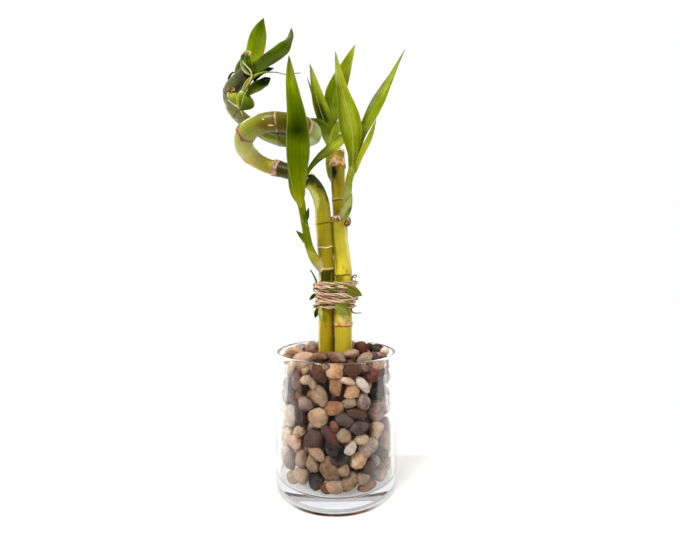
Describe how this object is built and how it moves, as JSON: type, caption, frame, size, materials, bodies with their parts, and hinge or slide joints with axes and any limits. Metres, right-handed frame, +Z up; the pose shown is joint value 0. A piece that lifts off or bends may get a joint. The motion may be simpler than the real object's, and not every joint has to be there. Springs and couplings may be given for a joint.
{
  "type": "lucky bamboo in a glass vase",
  "caption": "Potted lucky bamboo: cut stalks, one curled into a ring, with leafy shoots, bound by twine and standing in pebbles in a glass cylinder vase.",
  "frame": {"origin": "centre of the vase's flat foot, on the surface it stands on", "axes": "+Z up; -Y towards the viewer's side, the side that the curled stalk's ring comes forward to; +X to the viewer's right"},
  "size_m": [0.1508, 0.1178, 0.379],
  "materials": {
    "glass": "clear polished glass",
    "stalk": "satin",
    "shoot": "satin",
    "leaf": "satin",
    "twine": "matte",
    "wire": "matte",
    "stone_bed": "matte",
    "stone_tan": "matte",
    "stone_grey": "matte",
    "stone_red": "matte"
  },
  "bodies": {
    "root": {"bract_left_high": "leaf", "bract_left_low": "leaf", "bract_right": "leaf", "glass_vase": "glass", "leaf_back_bract": "leaf", "leaf_back_folded": "leaf", "leaf_back_short": "leaf", "leaf_back_tall": "leaf", "leaf_back_thin": "leaf", "leaf_hook": "leaf", "leaf_left_crossing": "leaf", "leaf_left_main": "leaf", "leaf_left_sheath": "leaf", "leaf_right_front": "leaf", "leaf_right_long": "leaf", "leaf_right_small": "leaf", "leaf_top_curled": "leaf", "leaf_top_dark": "leaf", "leaf_top_tendril": "leaf", "leaf_top_under": "leaf", "leaf_top_upright": "leaf", "leaf_top_whorl": "leaf", "pebble_bed": "stone_bed", "pebble_top_01": "stone_tan", "pebble_top_02": "stone_grey", "pebble_top_03": "stone_red", "pebble_top_04": "stone_tan", "pebble_top_05": "stone_grey", "pebble_top_06": "stone_red", "pebble_top_07": "stone_tan", "pebble_top_08": "stone_grey", "pebble_top_09": "stone_red", "pebble_top_10": "stone_tan", "pebble_top_11": "stone_grey", "pebble_top_12": "stone_red", "pebble_top_13": "stone_tan", "pebble_top_14": "stone_grey", "pebble_top_15": "stone_red", "pebble_top_16": "stone_tan", "pebble_top_17": "stone_grey", "pebble_top_18": "stone_red", "shoot_back": "shoot", "shoot_hook": "shoot", "shoot_left": "shoot", "shoot_right": "shoot", "shoot_top": "shoot", "sprig_leaf_1": "leaf", "sprig_leaf_2": "leaf", "sprig_leaf_3": "leaf", "sprig_leaf_4": "leaf", "sprig_leaf_5": "leaf", "sprig_leaf_6": "leaf", "sprig_leaf_7": "leaf", "sprig_wire_loop": "wire", "sprig_wire_tail": "wire", "sprig_wire_tip": "wire", "stalk_back": "stalk", "stalk_front": "stalk", "stalk_spiral": "stalk", "twine_wrap": "twine"}
  },
  "joints": []
}
